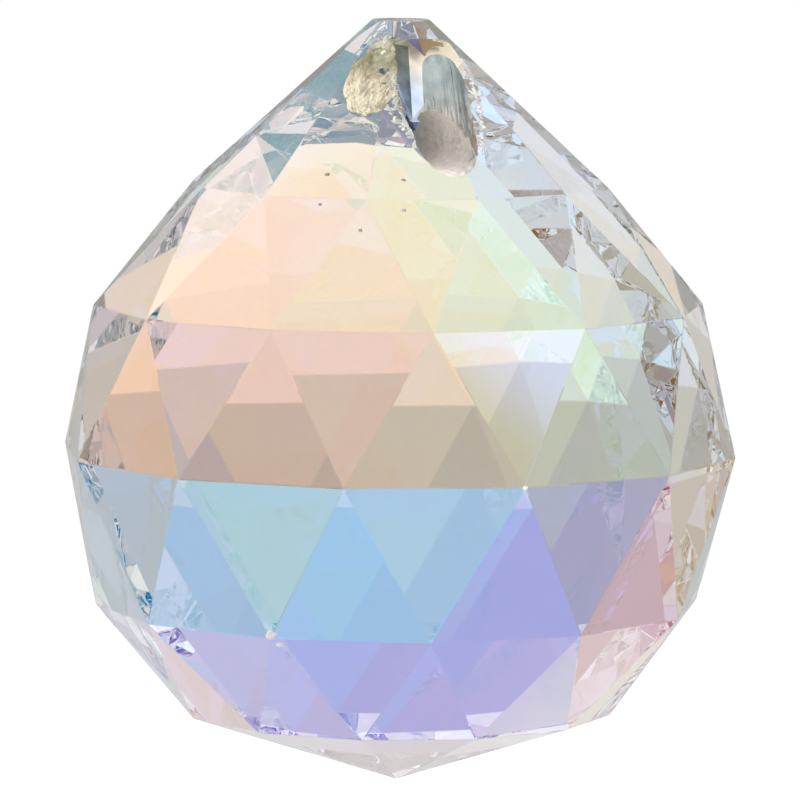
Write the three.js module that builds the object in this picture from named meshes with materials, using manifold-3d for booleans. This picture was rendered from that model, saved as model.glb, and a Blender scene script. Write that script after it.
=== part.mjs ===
// A faceted crystal ball prism that hangs from a hole drilled through its pointed top.
// Millimetres, +Z up. The origin is the middle of the hole, on the ball's own axis, and the hole runs along Y.
import * as THREE from "three";
import { ConvexGeometry } from "three/addons/geometries/ConvexGeometry.js";
import { mergeVertices } from "three/addons/utils/BufferGeometryUtils.js";
import Module from "manifold-3d";

// Driving dimensions.
const ballDiameter = 40; // across two opposite corners of the girdle
const sides = 12; // facets round every row
const crownLatitudes = [25.6, 52]; // degrees above the girdle, for the two rows of corners over it
const pavilionLatitudes = [-26.8, -50.5]; // degrees, for the two rows of corners under it
const tableDiameter = 3.4; // the small flat that ends the top cone
const tableHeight = 25.4; // above the girdle
const tipDepth = 19.6; // the bottom point, below the girdle
const holeDiameter = 3.4;
const holeHeight = 18.7; // the hole's middle line, above the girdle
const holeSegments = 48;
const cutTurn = 3.5; // degrees from the hole's front mouth round to the nearest ridge of the cone
const scoopTurn = 26.8; // degrees from the hole's front mouth round to the arched top of the break above it
const scoopHeight = 4.9; // the arched top of that break, above the hole's middle line
const scoopWidth = 3;
const scoopDepth = 0.9;

const ballRadius = ballDiameter / 2;
const facetTurn = (2 * Math.PI) / sides;

// A row of corners round the axis. A half step turns it so that its corners stand between those of the row next to it.
function cornerRow(radius, height, halfStep) {
  const start =
    THREE.MathUtils.degToRad(cutTurn) - Math.PI / 2 + (halfStep ? facetTurn / 2 : 0);
  return Array.from({ length: sides }, (_, i) => {
    const angle = start + i * facetTurn;
    return new THREE.Vector3(
      radius * Math.cos(angle),
      radius * Math.sin(angle),
      height - holeHeight,
    );
  });
}

// The rows of the ball lie on its sphere, and every second one is turned by half a facet.
function sphereRow(latitude, row) {
  const angle = THREE.MathUtils.degToRad(latitude);
  return cornerRow(
    ballRadius * Math.cos(angle),
    ballRadius * Math.sin(angle),
    row % 2 === 1,
  );
}

// The cut stone: rows of triangles on the ball, a twelve-sided cone with its table on top, and a flat cone below.
function cutStone() {
  const corners = [
    ...sphereRow(0, 0),
    ...crownLatitudes.flatMap((latitude, i) => sphereRow(latitude, i + 1)),
    ...pavilionLatitudes.flatMap((latitude, i) => sphereRow(latitude, i + 1)),
    ...cornerRow(tableDiameter / 2, tableHeight, false),
    new THREE.Vector3(0, 0, -tipDepth - holeHeight),
  ];
  return new ConvexGeometry(corners);
}

// The drill: a round bar along Y that is longer than the cone is wide.
function drill() {
  return new THREE.CylinderGeometry(
    holeDiameter / 2,
    holeDiameter / 2,
    ballDiameter,
    holeSegments,
  );
}

// A place on the top cone, at a turn from the hole's front mouth and a height above the hole's middle line.
function onCone(turn, height) {
  const base = THREE.MathUtils.degToRad(crownLatitudes[1]);
  const spread =
    (ballRadius * Math.cos(base) - tableDiameter / 2) /
    (tableHeight - ballRadius * Math.sin(base));
  const radius = tableDiameter / 2 + (tableHeight - holeHeight - height) * spread;
  const angle = THREE.MathUtils.degToRad(turn);
  return new THREE.Vector3(radius * Math.sin(angle), -radius * Math.cos(angle), height);
}

// The long break above the front mouth: a flattened round bar laid on the cone, from its arched top to the mouth.
function scoop() {
  const top = onCone(scoopTurn, scoopHeight);
  const mouth = onCone(0, 0);
  const along = top.clone().sub(mouth);
  const bar = new THREE.CapsuleGeometry(scoopWidth / 2, along.length() - scoopWidth, 6, 24);
  bar.scale(1, 1, (2 * scoopDepth) / scoopWidth);
  const middle = top.clone().add(mouth).multiplyScalar(0.5);
  along.normalize();
  const side = along.clone().cross(new THREE.Vector3(0, 0, 1)).normalize();
  const outward = side.clone().cross(along);
  bar.applyMatrix4(new THREE.Matrix4().makeBasis(side, along, outward).setPosition(middle));
  return bar;
}

const wasm = await Module();
wasm.setup();

function solidFrom(geometry) {
  geometry.deleteAttribute("normal");
  geometry.deleteAttribute("uv");
  const merged = mergeVertices(geometry);
  return new wasm.Manifold(
    new wasm.Mesh({
      numProp: 3,
      vertProperties: merged.attributes.position.array,
      triVerts: new Uint32Array(merged.index.array),
    }),
  );
}

function geometryFrom(solid) {
  const mesh = solid.getMesh();
  const geometry = new THREE.BufferGeometry();
  geometry.setAttribute(
    "position",
    new THREE.BufferAttribute(mesh.vertProperties, mesh.numProp),
  );
  geometry.setIndex(new THREE.BufferAttribute(mesh.triVerts, 1));
  geometry.computeVertexNormals();
  return geometry;
}

// Clear crystal under a thin iridescent coating, which gives it a pale cream and blue cast.
const crystal = new THREE.MeshStandardMaterial({
  color: 0xdfe0e6,
  roughness: 0.03,
  metalness: 0,
  transparent: true,
  opacity: 0.35,
  flatShading: true,
});

const ball = new THREE.Mesh(
  geometryFrom(
    solidFrom(cutStone()).subtract(solidFrom(scoop())).subtract(solidFrom(drill())),
  ),
  crystal,
);
ball.name = "crystal_ball";

const suncatcher = new THREE.Group();
suncatcher.name = "crystal_suncatcher";
suncatcher.add(ball);

export default suncatcher;
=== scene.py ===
import math
import random

import bpy
import bmesh
from mathutils import Matrix, Vector, noise
from mathutils.bvhtree import BVHTree


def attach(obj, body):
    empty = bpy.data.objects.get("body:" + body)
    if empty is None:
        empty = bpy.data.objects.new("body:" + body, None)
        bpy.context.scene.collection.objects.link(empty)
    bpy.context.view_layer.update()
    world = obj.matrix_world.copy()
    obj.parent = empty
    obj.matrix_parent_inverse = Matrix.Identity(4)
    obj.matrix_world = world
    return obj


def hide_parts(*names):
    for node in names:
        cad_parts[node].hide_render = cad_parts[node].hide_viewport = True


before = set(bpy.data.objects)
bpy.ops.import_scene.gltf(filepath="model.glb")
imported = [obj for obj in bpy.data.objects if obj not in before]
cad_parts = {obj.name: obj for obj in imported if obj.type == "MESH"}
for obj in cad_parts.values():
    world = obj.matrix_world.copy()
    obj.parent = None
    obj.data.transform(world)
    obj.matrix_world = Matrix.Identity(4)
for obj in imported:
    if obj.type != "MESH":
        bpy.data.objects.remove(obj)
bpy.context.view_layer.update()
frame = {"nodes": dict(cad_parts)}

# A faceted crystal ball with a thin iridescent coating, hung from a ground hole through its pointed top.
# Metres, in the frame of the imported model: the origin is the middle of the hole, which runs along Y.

scene = bpy.context.scene
print("frame loaded:", ", ".join(frame["nodes"]))


class Wire:
    # one output of a node: sums written with it add Math nodes to its tree

    def __init__(self, tree, socket=None):
        self.tree = tree
        self.socket = socket

    def add(self, kind, settings=None, inputs=None, output=0):
        # any other node: its settings first, then the values or wires of its sockets
        node = self.tree.nodes.new(kind)
        for name, value in (settings or {}).items():
            setattr(node, name, value)
        for name, value in (inputs or {}).items():
            if isinstance(value, Wire):
                self.tree.links.new(value.socket, node.inputs[name])
            else:
                node.inputs[name].default_value = value
        return Wire(self.tree, node.outputs[output]) if node.outputs else node

    def sum(self, operation, first, second):
        return self.add("ShaderNodeMath", {"operation": operation}, {0: first, 1: second})

    def __add__(self, other):
        return self.sum("ADD", self, other)

    def __radd__(self, other):
        return self.sum("ADD", other, self)

    def __sub__(self, other):
        return self.sum("SUBTRACT", self, other)

    def __rsub__(self, other):
        return self.sum("SUBTRACT", other, self)

    def __mul__(self, other):
        return self.sum("MULTIPLY", self, other)

    def __rmul__(self, other):
        return self.sum("MULTIPLY", other, self)


def newMaterial(name):
    material = bpy.data.materials.new(name)
    material.use_nodes = True
    material.node_tree.nodes.clear()
    return material, Wire(material.node_tree)


def fade(value, low, high, interpolation="LINEAR"):
    # 0 where the value is at the low end, rising to 1 at the high end
    return value.add("ShaderNodeMapRange", {"interpolation_type": interpolation},
                     {0: value, 1: low, 2: high, 3: 0.0, 4: 1.0})


def noiseOn(place, scale, detail):
    return place.add("ShaderNodeTexNoise", {}, {"Vector": place, "Scale": scale, "Detail": detail})


cameraSettings = {
    "azimuth": -17.7,  # degrees round from the front mouth of the hole
    "elevation": 6.43,
    "distance": 0.45925,  # from the middle of the girdle
    "lens": 350.55,
    "aimUp": 0.00295,  # the aim, above the middle of the girdle and to its right
    "aimRight": 0.00009,
    "roll": 0.39,
}
girdleHeight = -0.0187


def makeCamera(settings):
    azimuth = math.radians(settings["azimuth"])
    elevation = math.radians(settings["elevation"])
    back = Vector((
        math.sin(azimuth) * math.cos(elevation),
        -math.cos(azimuth) * math.cos(elevation),
        math.sin(elevation),
    ))
    middle = Vector((0, 0, girdleHeight))
    place = middle + back * settings["distance"]
    right = Vector((0, 0, 1)).cross(back).normalized()
    up = back.cross(right)
    aim = middle + up * settings["aimUp"] + right * settings["aimRight"]
    data = bpy.data.cameras.new("camera")
    data.lens = settings["lens"]
    data.sensor_width = 36
    data.clip_start = 0.01
    camera = bpy.data.objects.new("camera", data)
    turn = (aim - place).to_track_quat("-Z", "Y").to_matrix()
    turn = turn @ Matrix.Rotation(math.radians(settings["roll"]), 3, "Z")
    camera.matrix_world = Matrix.Translation(place) @ turn.to_4x4()
    scene.collection.objects.link(camera)
    scene.camera = camera


makeCamera(cameraSettings)
print("camera set")

# The ball is first cut whole, and the hole and the breaks are then taken out of it.
ballSettings = {
    "edgeWidth": 0.00004,  # the fine polished-off edge between facets
    "flatness": 0.4,  # degrees between triangles that belong to one facet
    "clear": 0.05,  # a distance from the axis that is well outside the ball
}


def objectFromBmesh(name, work):
    mesh = bpy.data.meshes.new(name)
    work.to_mesh(mesh)
    work.free()
    made = bpy.data.objects.new(name, mesh)
    scene.collection.objects.link(made)
    return made


def cutStone(node, settings):
    # the undrilled stone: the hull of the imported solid, its flat triangles joined into facets
    work = bmesh.new()
    work.from_mesh(node.data)
    bmesh.ops.remove_doubles(work, verts=work.verts, dist=1e-6)
    hull = bmesh.ops.convex_hull(work, input=work.verts)
    unused = list({item for item in hull["geom_interior"] + hull["geom_unused"]
                   if isinstance(item, bmesh.types.BMVert)})
    bmesh.ops.delete(work, geom=unused, context="VERTS")
    hullFaces = set(item for item in hull["geom"] if isinstance(item, bmesh.types.BMFace))
    inner = [face for face in work.faces if face not in hullFaces]
    bmesh.ops.delete(work, geom=inner, context="FACES")
    bmesh.ops.dissolve_limit(work, angle_limit=math.radians(settings["flatness"]), verts=work.verts,
                              edges=work.edges)
    bmesh.ops.recalc_face_normals(work, faces=work.faces)
    bmesh.ops.bevel(work, geom=work.edges, offset=settings["edgeWidth"], offset_type="OFFSET",
                    affect="EDGES", segments=1, profile=0.5, material=-1)
    return work


crystalIndex = 1.52

# The coating is a thin film of high index. Each facet has one thickness of it, in nanometres.
coatingSettings = {
    "index": 3.2,
    "thinnest": 64,
    "thickest": 144,
    "bands": 10,
    "middle": 125.6,
    "slope": {"side": -19.4, "away": 20.5, "up": 3.1},
    "bow": {"sideUp": -28.6, "upUp": -38.8, "sideSide": -34.7, "sideAway": 1.5, "upAway": -0.8},
}


def coatingThickness(normal, settings):
    # thinner towards both ends and towards the sides, and thicker on the half that faces away
    turn = math.radians(cameraSettings["azimuth"])
    side = normal.x * math.cos(turn) + normal.y * math.sin(turn)
    away = normal.y * math.cos(turn) - normal.x * math.sin(turn)
    up = normal.z
    slope, bow = settings["slope"], settings["bow"]
    sloped = slope["side"] * side + slope["away"] * away + slope["up"] * up
    bowed = bow["sideUp"] * side * up + bow["upUp"] * up * up + bow["sideSide"] * side * side
    twisted = (bow["sideAway"] * side + bow["upAway"] * up) * away
    return settings["middle"] + sloped + (bowed + twisted)


def bandStep(settings):
    return (settings["thickest"] - settings["thinnest"]) / (settings["bands"] - 1)


def bandOf(normal, settings):
    band = round((coatingThickness(normal, settings) - settings["thinnest"]) / bandStep(settings))
    return min(max(band, 0), settings["bands"] - 1)


polishSettings = {
    "rubTurn": (0.5, 0.3, 0.9),
    "rubScale": (5200, 420, 420),
    "rubStart": (0.68, 0.76),
    "patchScale": 190.0,  # the rubs gather in patches
    "patchStart": (0.57, 0.66),
    "wheelScale": 260.0,
    "wheelDepth": 0.5,
    "roughness": 0.12,
    "bump": 0.3,
    "bumpDepth": 0.00001,
}


def makeCrystal(settings, polish, band):
    # hairline rubs from handling, and a faint unevenness left by the polishing wheel
    material, wire = newMaterial("coated crystal %d" % (band + 1))
    place = wire.add("ShaderNodeTexCoord", {}, {}, 3)
    stretched = wire.add("ShaderNodeMapping", {}, {
        "Vector": place, "Rotation": polish["rubTurn"], "Scale": polish["rubScale"]})
    patches = fade(noiseOn(place, polish["patchScale"], 2.0), *polish["patchStart"])
    rubs = fade(noiseOn(stretched, 1.0, 1.0), *polish["rubStart"]) * patches
    wheel = noiseOn(place, polish["wheelScale"], 1.0)
    bump = wire.add("ShaderNodeBump", {}, {
        "Strength": polish["bump"], "Distance": polish["bumpDepth"],
        "Height": wheel * polish["wheelDepth"] - rubs})
    shader = wire.add("ShaderNodeBsdfPrincipled", {}, {
        "Base Color": (1, 1, 1, 1),
        "Roughness": rubs * polish["roughness"],
        "IOR": crystalIndex,
        "Transmission Weight": 1.0,
        "Thin Film Thickness": settings["thinnest"] + bandStep(settings) * band,
        "Thin Film IOR": settings["index"],
        "Normal": bump,
    })
    wire.add("ShaderNodeOutputMaterial", {}, {"Surface": shader})
    return material


def makeBall(settings):
    work = cutStone(frame["nodes"]["crystal_ball"], settings)
    work.normal_update()
    for face in work.faces:
        face.material_index = bandOf(face.normal, coatingSettings)
    print("stone:", len(work.verts), "corners,", len(work.faces), "faces")
    skin = BVHTree.FromBMesh(work)
    ball = objectFromBmesh("crystal_ball_visual", work)
    for band in range(coatingSettings["bands"]):
        ball.data.materials.append(makeCrystal(coatingSettings, polishSettings, band))
    return ball, skin


ball, skin = makeBall(ballSettings)


def surfaceAt(turn, height):
    # the place on the whole stone at a turn from the hole's front mouth, in degrees, and a height, in metres
    angle = math.radians(turn)
    outward = Vector((math.sin(angle), -math.cos(angle), 0))
    start = Vector((0, 0, height)) + outward * ballSettings["clear"]
    place, normal = skin.ray_cast(start, -outward)[:2]
    return place, normal


# Raw glass where the hole was ground and where the stone broke: each finish is one material. Its colour
# runs from foot to top over the heights given, in metres, and each colour is a dark and a light that the
# grain mixes. Most of these colours are painted light: painted shade and painted reflections on clear glass,
# as each entry says.
finishAndPaintedLightSettings = {
    # painted shade: the drilled wall is near white below and coloured darker and greyer on its upper part,
    # where shade falls
    "ground": {"heights": (-0.0019, -0.0004), "foot": ((0.90, 0.79, 0.75), (1.0, 0.95, 0.92)),
               "top": ((0.72, 0.69, 0.64), (0.96, 0.92, 0.87)), "roughness": 0.4,
               "transmission": 0.1, "scale": 2600, "bump": 0.7},
    # painted shade: the frosted scoop and its flutes coloured mid and dark grey, darker and bluer towards its
    # top
    "scoop": {"heights": (0.0004, 0.0034), "foot": ((0.36, 0.33, 0.30), (0.60, 0.56, 0.51)),
              "top": ((0.23, 0.28, 0.28), (0.37, 0.42, 0.41)), "roughness": 0.3,
              "transmission": 0.5, "scale": 1500, "bump": 0.45},
    "speck": {"heights": (-0.01, 0), "foot": ((0.22, 0.20, 0.17), (0.44, 0.41, 0.36)),
              "top": ((0.22, 0.20, 0.17), (0.44, 0.41, 0.36)), "roughness": 0.5,
              "transmission": 0.2, "scale": 2600, "bump": 0.5},
    # painted light: the clear break coloured tan for the light it scatters, with painted shade making it dark
    # olive towards its top
    "broken": {"heights": (0.0028, 0.0046), "foot": ((0.56, 0.46, 0.30), (0.82, 0.74, 0.55)),
               "top": ((0.20, 0.18, 0.09), (0.60, 0.56, 0.38)), "roughness": 0.28,
               "transmission": 0.4, "scale": 1300, "bump": 0.7},
    # painted shade and painted reflection: the clear crack and the broken pits coloured near black to blue at
    # the foot and olive at the top
    "slot": {"heights": (0.0022, 0.0048), "foot": ((0.01, 0.015, 0.05), (0.30, 0.46, 0.74)),
             "top": ((0.14, 0.17, 0.14), (0.36, 0.40, 0.32)), "roughness": 0.08,
             "transmission": 0.9, "scale": 900, "bump": 0.2},
    # painted reflection: the clear split face coloured blue at its foot and tan at its top
    "split": {"heights": (0.0024, 0.0044), "foot": ((0.46, 0.56, 0.72), (0.74, 0.82, 0.92)),
              "top": ((0.58, 0.50, 0.37), (0.76, 0.69, 0.56)), "roughness": 0.12,
              "transmission": 0.4, "scale": 700, "bump": 0.2},
    "chip": {"heights": (-0.001, 0.005), "foot": ((0.80, 0.78, 0.73), (0.96, 0.95, 0.93)),
             "top": ((0.80, 0.76, 0.58), (0.96, 0.94, 0.82)), "roughness": 0.1,
             "transmission": 0.68, "scale": 900, "bump": 0.3},
}


grainSettings = {
    "colorStart": (0.38, 0.62),  # where in the grain the dark colour ends and the light one starts
    "wander": 0.001,  # how far the change from foot to top wanders up and down
    "bumpDepth": 0.00005,
}


def makeFinishWithPaintedLight(name, settings):
    material, wire = newMaterial(name + " crystal")
    place = wire.add("ShaderNodeTexCoord", {}, {}, 3)
    height = wire.add("ShaderNodeSeparateXYZ", {}, {0: place}, 2)
    grain = noiseOn(place, settings["scale"], 4.0)
    coarse = noiseOn(place, settings["scale"] / 4, 2.0)
    speckle = fade(grain * 0.6 + coarse * 0.4, *grainSettings["colorStart"])
    # in most finishes the change from foot to top is painted shade and painted reflection
    rise = fade(height + (coarse - 0.5) * grainSettings["wander"], *settings["heights"], "SMOOTHSTEP")
    ends = []
    for end in ("foot", "top"):
        dark, light = settings[end]
        ends.append(wire.add("ShaderNodeMix", {"data_type": "RGBA"},
                             {0: speckle, 6: dark + (1,), 7: light + (1,)}, 2))
    color = wire.add("ShaderNodeMix", {"data_type": "RGBA"}, {0: rise, 6: ends[0], 7: ends[1]}, 2)
    bump = wire.add("ShaderNodeBump", {}, {
        "Strength": settings["bump"], "Distance": grainSettings["bumpDepth"], "Height": grain})
    shader = wire.add("ShaderNodeBsdfPrincipled", {}, {
        "Base Color": color,
        "Roughness": settings["roughness"] * (0.6 + 0.8 * coarse),
        "IOR": crystalIndex,
        "Transmission Weight": settings["transmission"],
        "Normal": bump,
    })
    wire.add("ShaderNodeOutputMaterial", {}, {"Surface": shader})
    return material


finishesWithPaintedLight = {name: makeFinishWithPaintedLight(name, settings) for name, settings in finishAndPaintedLightSettings.items()}


def cutAway(piece, work, *names):
    # takes a closed shape out of the piece, and leaves its materials on the new surface, most of them with
    # painted shade and painted reflections in their colour
    cutter = objectFromBmesh("cutter", work)
    for name in names:
        cutter.data.materials.append(finishesWithPaintedLight[name])
    modifier = piece.modifiers.new("cut", "BOOLEAN")
    modifier.operation = "DIFFERENCE"
    modifier.solver = "EXACT"
    modifier.use_self = True
    modifier.material_mode = "TRANSFER"
    modifier.object = cutter
    graph = bpy.context.evaluated_depsgraph_get()
    mesh = bpy.data.meshes.new_from_object(piece.evaluated_get(graph))
    piece.modifiers.clear()
    old = piece.data
    piece.data = mesh
    bpy.data.meshes.remove(old)
    bpy.data.objects.remove(cutter)
    print("cut:", names[0], len(mesh.vertices), "corners")


def basis(place, along, outward):
    # a shape's own X goes sideways, its Y outwards and its Z along
    along = along.normalized()
    side = outward.cross(along).normalized()
    return Matrix.Translation(place) @ Matrix((side, along.cross(side), along)).transposed().to_4x4()


def makeRod(radius1, radius2, length, sides, rings):
    # a fine-meshed round rod along Z, from its radius1 end at 0 up to its radius2 end
    work = bmesh.new()
    bmesh.ops.create_cone(work, cap_ends=True, segments=sides, radius1=radius1, radius2=radius2, depth=length,
                          matrix=Matrix.Translation((0, 0, length / 2)))
    long = [edge for edge in work.edges if abs(edge.verts[0].co.z - edge.verts[1].co.z) > length / 2]
    bmesh.ops.subdivide_edges(work, edges=long, cuts=rings, use_grid_fill=True)
    return work


boreSettings = {
    "radius": 0.00172,
    "length": 0.026,
    "sides": 120,
    "rings": 200,
    "streaks": 0.00005,  # the depth of the rub marks round the wall
    "streakScale": (8, 300),  # round the wall and along it
    "grain": 0.00005,
    "grainScale": 3600,
}


def makeBore(settings):
    length, radius = settings["length"], settings["radius"]
    work = makeRod(radius, radius, length, settings["sides"], settings["rings"])
    turn = Matrix.Rotation(math.radians(90), 4, "X") @ Matrix.Translation((0, 0, -length / 2))
    bmesh.ops.transform(work, matrix=turn, verts=work.verts)
    around, along = settings["streakScale"]
    for vert in work.verts:
        outward = Vector((vert.co.x, 0, vert.co.z)).normalized()
        streaks = noise.noise(Vector((outward.x * around, vert.co.y * along, outward.z * around)))
        grain = noise.noise(vert.co * settings["grainScale"])
        vert.co += outward * (streaks * settings["streaks"] + grain * settings["grain"])
    return work


gougeSettings = {
    "from": (28.5, 0.0053),  # degrees and metres on the cone: its arched top
    "to": (0.5, -0.0003),
    "inset": 0.00022,  # how far its axis lies under the cone
    "topRadius": 0.00112,
    "mouthRadius": 0.00168,
    "depth": 0.62,  # of the radius
    "arch": 0.0013,  # how far down the rounding of its top reaches
    "tip": 0.001,  # what is left of the radius at the very top, squared
    "sides": 120,
    "rings": 170,
    "fadeIn": 1.6,  # how soon the marks reach full depth on the way down
    "streaks": 0.00022,  # the depth of the streaks that run down it
    "streakScale": (11, 330),  # round the scoop and along it
    "grain": 0.00004,
    "grainScale": (7, 3500),
}


def noiseRound(around, height, scale):
    return noise.noise(Vector((around.x * scale[0], around.y * scale[0], height * scale[1])))


def lieOfGouge(settings):
    top, topNormal = surfaceAt(*settings["from"])
    mouth, mouthNormal = surfaceAt(*settings["to"])
    return mouth, top - mouth, (topNormal + mouthNormal).normalized()


def makeGouge(settings):
    # the long scoop that broke out above the front mouth, smooth at its arched top and streaked below
    mouth, along, outward = lieOfGouge(settings)
    length = along.length
    work = makeRod(settings["mouthRadius"], settings["topRadius"], length, settings["sides"],
                   settings["rings"])
    for vert in work.verts:
        left = length - vert.co.z
        if left < settings["arch"]:
            share = 1 - left / settings["arch"]
            vert.co.xy *= math.sqrt(max(1 - share * share, settings["tip"]))
        across = vert.co.xy.to_3d()
        if across.length < 1e-5:
            continue
        lower = min(left / length * settings["fadeIn"], 1)
        around = across.normalized()
        streaks = noiseRound(around, vert.co.z, settings["streakScale"]) * settings["streaks"] * lower
        grain = noiseRound(around, vert.co.z, settings["grainScale"]) * settings["grain"] * lower * lower
        vert.co += around * (streaks + grain)
        vert.co.y *= settings["depth"]
    bmesh.ops.transform(work, matrix=basis(mouth - outward * settings["inset"], along, outward),
                        verts=work.verts)
    return work


fluteSettings = {
    "count": 17,
    "width": 0.0028,  # of the whole row
    "sides": 5,
    "radius": 0.0002,
    "length": 0.0021,
    "lean": 0.08,
    "reach": 0.0045,  # from the mouth up to where the search for the edge starts
    "step": 0.0001,  # of that search, and how many are made
    "steps": 40,
    "drop": 0.0003,  # a fall of the floor that counts as the edge
    "above": 0.01,  # a height that is clear of the stone
}


def edgeBelow(floor, start, along, outward, settings):
    # the last place on the scoop's floor before it drops into the drilled wall
    edge = None
    for step in range(settings["steps"]):
        place = start + along * (settings["reach"] - step * settings["step"]) + outward * settings["above"]
        hit = floor.ray_cast(place, -outward)[0]
        if edge is not None and (hit is None or (edge - hit).dot(outward) > settings["drop"]):
            break
        edge = hit
    return edge


def makeFlutes(settings, gouge, piece):
    # tapered notches side by side over the edge where the scoop drops into the drilled wall
    dice = random.Random(3)
    mouth, along, outward = lieOfGouge(gouge)
    along.normalize()
    side = outward.cross(along).normalized()
    carved = bmesh.new()
    carved.from_mesh(piece.data)
    floor = BVHTree.FromBMesh(carved)
    carved.free()
    work = bmesh.new()
    for step in range(settings["count"]):
        across = (step / (settings["count"] - 1) - 0.5) * settings["width"]
        edge = edgeBelow(floor, mouth + side * across, along, outward, settings)
        if edge is None:
            continue
        made = bmesh.ops.create_cone(work, cap_ends=True, segments=settings["sides"],
                                     depth=settings["length"] * dice.uniform(0.7, 1.2),
                                     radius1=settings["radius"] * dice.uniform(0.8, 1.4),
                                     radius2=settings["radius"] * 0.1)["verts"]
        lean = side * dice.uniform(-0.1, 0.1) + outward * settings["lean"]
        spin = Matrix.Rotation(dice.uniform(0, math.pi), 4, "Z")
        place = edge + along * dice.uniform(-0.0002, 0.0004)
        bmesh.ops.transform(work, matrix=basis(place, along + lean, outward) @ spin, verts=made)
    return work


splinterSettings = {  # its three long edges, each from its upper end to its foot
    "left": ((-29, 0.0055), (-14, 0.0012)),
    "deep": ((-7, 0.0058), (-11.5, 0.0018)),
    "right": ((52, 0.0054), (2, 0.0012)),
    "depth": (0.0008, 0.0006),
    "overshoot": 0.8,  # how far the outer edges are carried on past the surface
}


def makeSplinter(settings):
    # the wedge that split off between the cone's top and the hole: a steep side on the left and a wide one on
    # the right, both clean
    work = bmesh.new()
    rows = {}
    for side in ("deep", "left", "right"):
        rows[side] = []
        for end in range(2):
            place, normal = surfaceAt(*settings[side][end])
            if side == "deep":
                place = place - normal * settings["depth"][end]
            else:
                place = place + (place - rows["deep"][end].co) * settings["overshoot"]
            rows[side].append(work.verts.new(place))
    bmesh.ops.convex_hull(work, input=work.verts)
    bmesh.ops.recalc_face_normals(work, faces=work.faces)
    # the steep left side takes the slot's painted shade and reflection, the wide right side the split's
    # painted reflection
    leftSide = {*rows["deep"], *rows["left"]}
    for face in work.faces:
        onLeft = sum(vert in leftSide for vert in face.verts) == len(face.verts)
        face.material_index = 0 if onLeft else 1
    return work


sliverSettings = {
    "from": (-15.5, 0.0017),
    "to": (-8, -0.0007),
    "halfWidth": 0.00016,
    "depth": 0.0009,
    "footShare": 0.5,  # of the width and depth that is left at its foot
}


def makeSliver(settings):
    # the narrow open crack that runs on from the wedge down the side of the mouth
    top, topNormal = surfaceAt(*settings["from"])
    foot, footNormal = surfaceAt(*settings["to"])
    normal = (topNormal + footNormal).normalized()
    side = normal.cross(top - foot).normalized()
    work = bmesh.new()
    rise = normal * settings["halfWidth"]
    for place, share in ((top, 1.0), (foot, settings["footShare"])):
        work.verts.new(place - normal * settings["depth"] * share)
        for way in (-1, 1):
            work.verts.new(place + side * way * settings["halfWidth"] * share + rise)
    bmesh.ops.convex_hull(work, input=work.verts)
    bmesh.ops.recalc_face_normals(work, faces=work.faces)
    return work


spallSettings = {
    "turn": -34,
    "height": 0.0036,
    "halfWidth": 0.0018,
    "halfLength": 0.0031,
    "depth": 0.0004,
    "outline": 0.18,  # how uneven its outline is
    "outlineScale": 2.3,
    "waves": 0.00012,
    "waveScale": 1300,
    "flakes": 0.00006,
    "flakeScale": 5000,
}


def upSlope(normal):
    # the way straight up along a surface
    return Vector((0, 0, 1)) - normal * normal.z


def makeSpall(settings):
    # the shallow shell-shaped break to the left of the splinter
    place, normal = surfaceAt(settings["turn"], settings["height"])
    work = bmesh.new()
    bmesh.ops.create_icosphere(work, subdivisions=6, radius=1)
    for vert in work.verts:
        direction = vert.co.normalized()
        reach = 1 + settings["outline"] * noise.noise(direction * settings["outlineScale"])
        vert.co = Vector((direction.x * settings["halfWidth"], direction.y * settings["depth"],
                          direction.z * settings["halfLength"])) * reach
        vert.co.y += noise.noise(vert.co * settings["waveScale"]) * settings["waves"]
        vert.co.y += noise.cell(vert.co * settings["flakeScale"]) * settings["flakes"]
    bmesh.ops.transform(work, matrix=basis(place, upSlope(normal), normal), verts=work.verts)
    return work


# Small chips in rows, from one place to the other: the turn in degrees and the height in metres.
chipSettings = {"shape": (0.6, 0.5, 1.3), "sizes": (0.5, 1.3), "corners": (0.5, 1.2), "lean": 0.3}
chipRows = [
    {"from": (-36, 0.0058), "to": (-23, 0.0032), "count": 11, "size": 0.00042},
    {"from": (-23, 0.0032), "to": (-9, -0.0004), "count": 24, "size": 0.00038},
    {"from": (-27, 0.0024), "to": (-15, 0.0007), "count": 8, "size": 0.0003},
    {"from": (-9, -0.0004), "to": (-5, -0.0014), "count": 6, "size": 0.0002},
    {"from": (44, 0.005), "to": (31, 0.0031), "count": 8, "size": 0.00026},
    {"from": (31, 0.0031), "to": (11.5, -0.0006), "count": 18, "size": 0.0003},
    {"from": (24, 0.0057), "to": (36, 0.0055), "count": 4, "size": 0.00024},
    {"from": (168, 0.001), "to": (172, -0.0016), "count": 5, "size": 0.00025},
    {"from": (186, 0.0018), "to": (191, -0.0008), "count": 5, "size": 0.0002},
]


def roughLump(work, shape, size, subdivisions, dice, corners):
    # a small ball of the given proportions, with every corner drawn in or out by chance
    made = bmesh.ops.create_icosphere(work, subdivisions=subdivisions, radius=1)["verts"]
    for vert in made:
        stretched = Vector([part * share for part, share in zip(vert.co, shape)])
        vert.co = stretched * size * dice.uniform(*corners)
    return made


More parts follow.
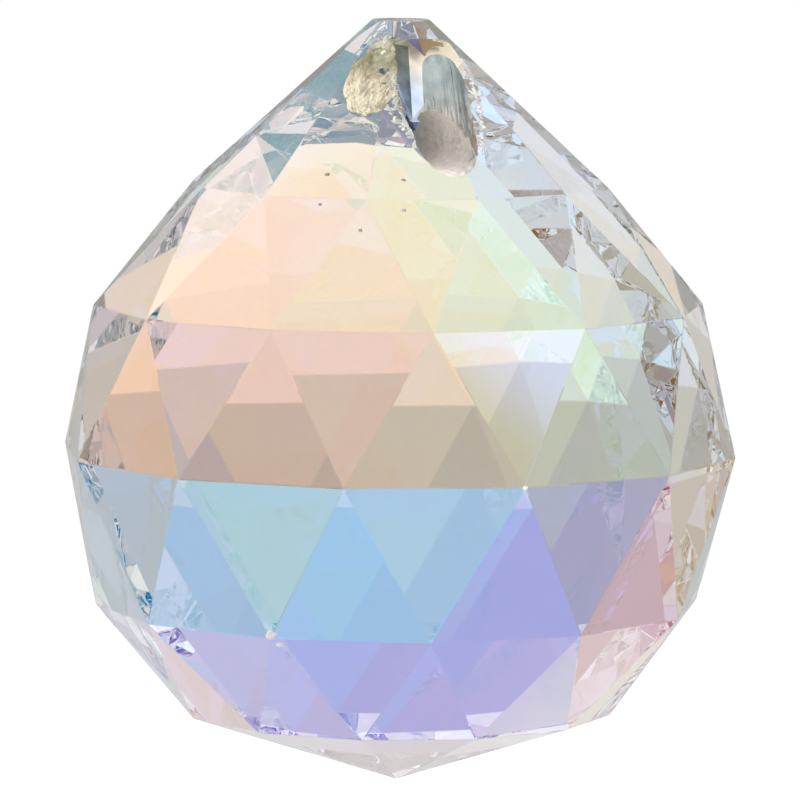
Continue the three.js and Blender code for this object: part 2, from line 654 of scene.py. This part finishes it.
def makeChips(settings, rows):
    dice = random.Random(11)
    lean = settings["lean"]
    work = bmesh.new()
    for row in rows:
        for step in range(row["count"]):
            share = (step + dice.uniform(0.2, 0.8)) / row["count"]
            turn = row["from"][0] * (1 - share) + row["to"][0] * share
            height = row["from"][1] * (1 - share) + row["to"][1] * share
            place, normal = surfaceAt(turn, height)
            size = row["size"] * dice.uniform(*settings["sizes"])
            spin = Matrix.Rotation(dice.uniform(0, math.pi), 4, normal)
            along = upSlope(normal) + Vector([dice.uniform(-lean, lean) for axis in range(3)])
            made = roughLump(work, settings["shape"], size, 1, dice, settings["corners"])
            matrix = Matrix.Translation(place) @ spin @ Matrix.Translation(-place)
            matrix = matrix @ basis(place, along, normal)
            bmesh.ops.transform(work, matrix=matrix, verts=made)
    return work


# Small pits: turn in degrees, height and size in metres.
pitSettings = {"shape": (1, 0.35, 0.8), "corners": (0.7, 1.2)}
speckPlaces = [
    (-41, -0.0017, 0.00017),
    (-39.7, -0.0033, 0.00013),
    (-27.3, -0.0046, 0.00015),
    (-16.6, -0.0019, 0.00014),
    (-16.7, -0.0035, 0.00015),
]
brokenPits = {"places": [(-32.5, 0.0042, 0.00042), (-30, 0.0036, 0.0003)], "inset": 0.0004}
nickPlaces = [
    (3.5, -0.0187, 0.0002),
    (-41.5, -0.0276, 0.00045),
    (-40.2, -0.0281, 0.0003),
]


def makePits(settings, places, seed, subdivisions, inset=0.0):
    dice = random.Random(seed)
    work = bmesh.new()
    for turn, height, size in places:
        place, normal = surfaceAt(turn, height)
        made = roughLump(work, settings["shape"], size, subdivisions, dice, settings["corners"])
        matrix = basis(place - normal * inset, upSlope(normal), normal)
        bmesh.ops.transform(work, matrix=matrix, verts=made)
    return work


# The spall, the splinter, the sliver, the gouge with its flutes, the bore and the broken pits take colours
# with painted shade and painted reflections.
cutAway(ball, makeSpall(spallSettings), "broken")
cutAway(ball, makeSplinter(splinterSettings), "slot", "split")
cutAway(ball, makeSliver(sliverSettings), "slot")
cutAway(ball, makeGouge(gougeSettings), "scoop")
cutAway(ball, makeBore(boreSettings), "ground")
cutAway(ball, makeFlutes(fluteSettings, gougeSettings, ball), "scoop")
cutAway(ball, makeChips(chipSettings, chipRows), "chip")
cutAway(ball, makePits(pitSettings, brokenPits["places"], 4, 1, brokenPits["inset"]), "slot")
cutAway(ball, makePits(pitSettings, speckPlaces, 5, 2), "speck")
cutAway(ball, makePits(pitSettings, nickPlaces, 8, 1), "chip")


def dropDoubledFaces(piece):
    # a pair of faces on the same corners, left where cuts meet, encloses nothing
    work = bmesh.new()
    work.from_mesh(piece.data)
    alike = {}
    for face in work.faces:
        alike.setdefault(frozenset(vert.index for vert in face.verts), []).append(face)
    doubled = [face for faces in alike.values() for face in faces[len(faces) % 2:]]
    bmesh.ops.delete(work, geom=doubled, context="FACES")
    work.to_mesh(piece.data)
    work.free()
    print("doubled faces dropped:", len(doubled))


dropDoubledFaces(ball)
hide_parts("crystal_ball")
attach(ball, "root")

floorSettings = {"radius": 0.2, "height": -0.052, "glow": 0.75}


def makeFloor(settings):
    work = bmesh.new()
    bmesh.ops.create_circle(work, cap_ends=True, segments=96, radius=settings["radius"],
                            matrix=Matrix.Translation((0, 0, settings["height"])))
    floor = objectFromBmesh("floor", work)
    material, wire = newMaterial("pale floor")
    shader = wire.add("ShaderNodeBsdfPrincipled", {}, {
        "Base Color": (0.9, 0.9, 0.9, 1),
        "Roughness": 0.8,
        "Emission Color": (1, 1, 1, 1),
        "Emission Strength": settings["glow"],
    })
    wire.add("ShaderNodeOutputMaterial", {}, {"Surface": shader})
    floor.data.materials.append(material)
    floor.visible_transmission = False
    floor.visible_glossy = False


makeFloor(floorSettings)
print("floor laid")

# The light: a studio that brightens downwards, with soft panels round the ball. A panel of negative strength
# takes light away, as a black flag does. Angles are in degrees, the azimuth from straight behind the ball as
# the camera sees it and positive to its right.
skySettings = {"above": 0.3, "below": 1.04, "from": 0.26, "to": -0.65}
lightPanels = [
    {"azimuth": 130, "elevation": 29.5, "spread": 8, "strength": 0.8},
    {"azimuth": -136.5, "elevation": -41, "spread": 8, "strength": -2},
    {"azimuth": -44, "elevation": 46.5, "spread": 23, "strength": 0.33},
    {"azimuth": 87, "elevation": -60.5, "spread": 59, "strength": 0.27},
    {"azimuth": 128.5, "elevation": -14, "spread": 17.5, "strength": -0.54},
    {"azimuth": -117.5, "elevation": 61, "spread": 15, "strength": 0.28},
    {"azimuth": -73.5, "elevation": 1, "spread": 18, "strength": -0.2},
    {"azimuth": -123, "elevation": -5, "spread": 13.5, "strength": -0.37},
    {"azimuth": 71.5, "elevation": 52.5, "spread": 46, "strength": 0.21},
    {"azimuth": 9.5, "elevation": -53, "spread": 26.5, "strength": -0.29},
    {"azimuth": 81.5, "elevation": -22, "spread": 32, "strength": -0.31},
]


panelEdge = (1.5, 0.5)  # where a panel's soft edge starts and ends, as shares of its spread


def towardsLight(settings):
    azimuth = math.radians(settings["azimuth"] - cameraSettings["azimuth"])
    elevation = math.radians(settings["elevation"])
    return Vector((math.sin(azimuth) * math.cos(elevation), math.cos(azimuth) * math.cos(elevation),
                   math.sin(elevation)))


def makeWorld(sky, panels):
    world = bpy.data.worlds.new("studio")
    world.use_nodes = True
    world.node_tree.nodes.clear()
    scene.world = world
    wire = Wire(world.node_tree)
    direction = wire.add("ShaderNodeTexCoord")
    up = wire.add("ShaderNodeSeparateXYZ", {}, {0: direction}, 2)
    glow = wire.add("ShaderNodeMapRange", {"interpolation_type": "SMOOTHSTEP"},
                    {0: up, 1: sky["from"], 2: sky["to"], 3: sky["above"], 4: sky["below"]})
    for panel in panels:
        outer, inner = (math.radians(panel["spread"] * share) for share in panelEdge)
        nearness = wire.add("ShaderNodeVectorMath", {"operation": "DOT_PRODUCT"},
                            {0: direction, 1: towardsLight(panel)}, 1)
        angle = wire.add("ShaderNodeMath", {"operation": "ARCCOSINE"}, {0: nearness})
        glow = glow + wire.add("ShaderNodeMapRange", {"interpolation_type": "SMOOTHSTEP"},
                               {0: angle, 1: outer, 2: inner, 3: 0.0, 4: panel["strength"]})
    seen = wire.add("ShaderNodeLightPath")
    glow = wire.add("ShaderNodeMath", {"operation": "MAXIMUM"}, {0: glow, 1: 0.0})
    strength = wire.add("ShaderNodeMix", {"data_type": "FLOAT"}, {0: seen, 2: glow, 3: 1.0})
    background = wire.add("ShaderNodeBackground", {}, {"Color": (1, 1, 1, 1), "Strength": strength})
    wire.add("ShaderNodeOutputWorld", {}, {"Surface": background})


softboxSettings = {"azimuth": 140, "elevation": 26, "distance": 0.4, "size": 0.25, "power": 2.9}


def makeSoftbox(settings):
    # from the front, the right and above, for the rough and broken surfaces: the clear facets don't mirror it
    towards = towardsLight(settings)
    data = bpy.data.lights.new("softbox", "AREA")
    data.size = settings["size"]
    data.energy = settings["power"]
    light = bpy.data.objects.new("softbox", data)
    light.matrix_world = (Matrix.Translation(towards * settings["distance"])
                          @ towards.to_track_quat("Z", "Y").to_matrix().to_4x4())
    light.visible_glossy = False
    light.visible_transmission = False
    scene.collection.objects.link(light)


makeWorld(skySettings, lightPanels)
makeSoftbox(softboxSettings)
scene.view_settings.view_transform = "Standard"
bounces = 24  # light crosses the stone many times before it leaves
scene.cycles.max_bounces = bounces
scene.cycles.transmission_bounces = bounces
scene.cycles.glossy_bounces = bounces
print("light set")
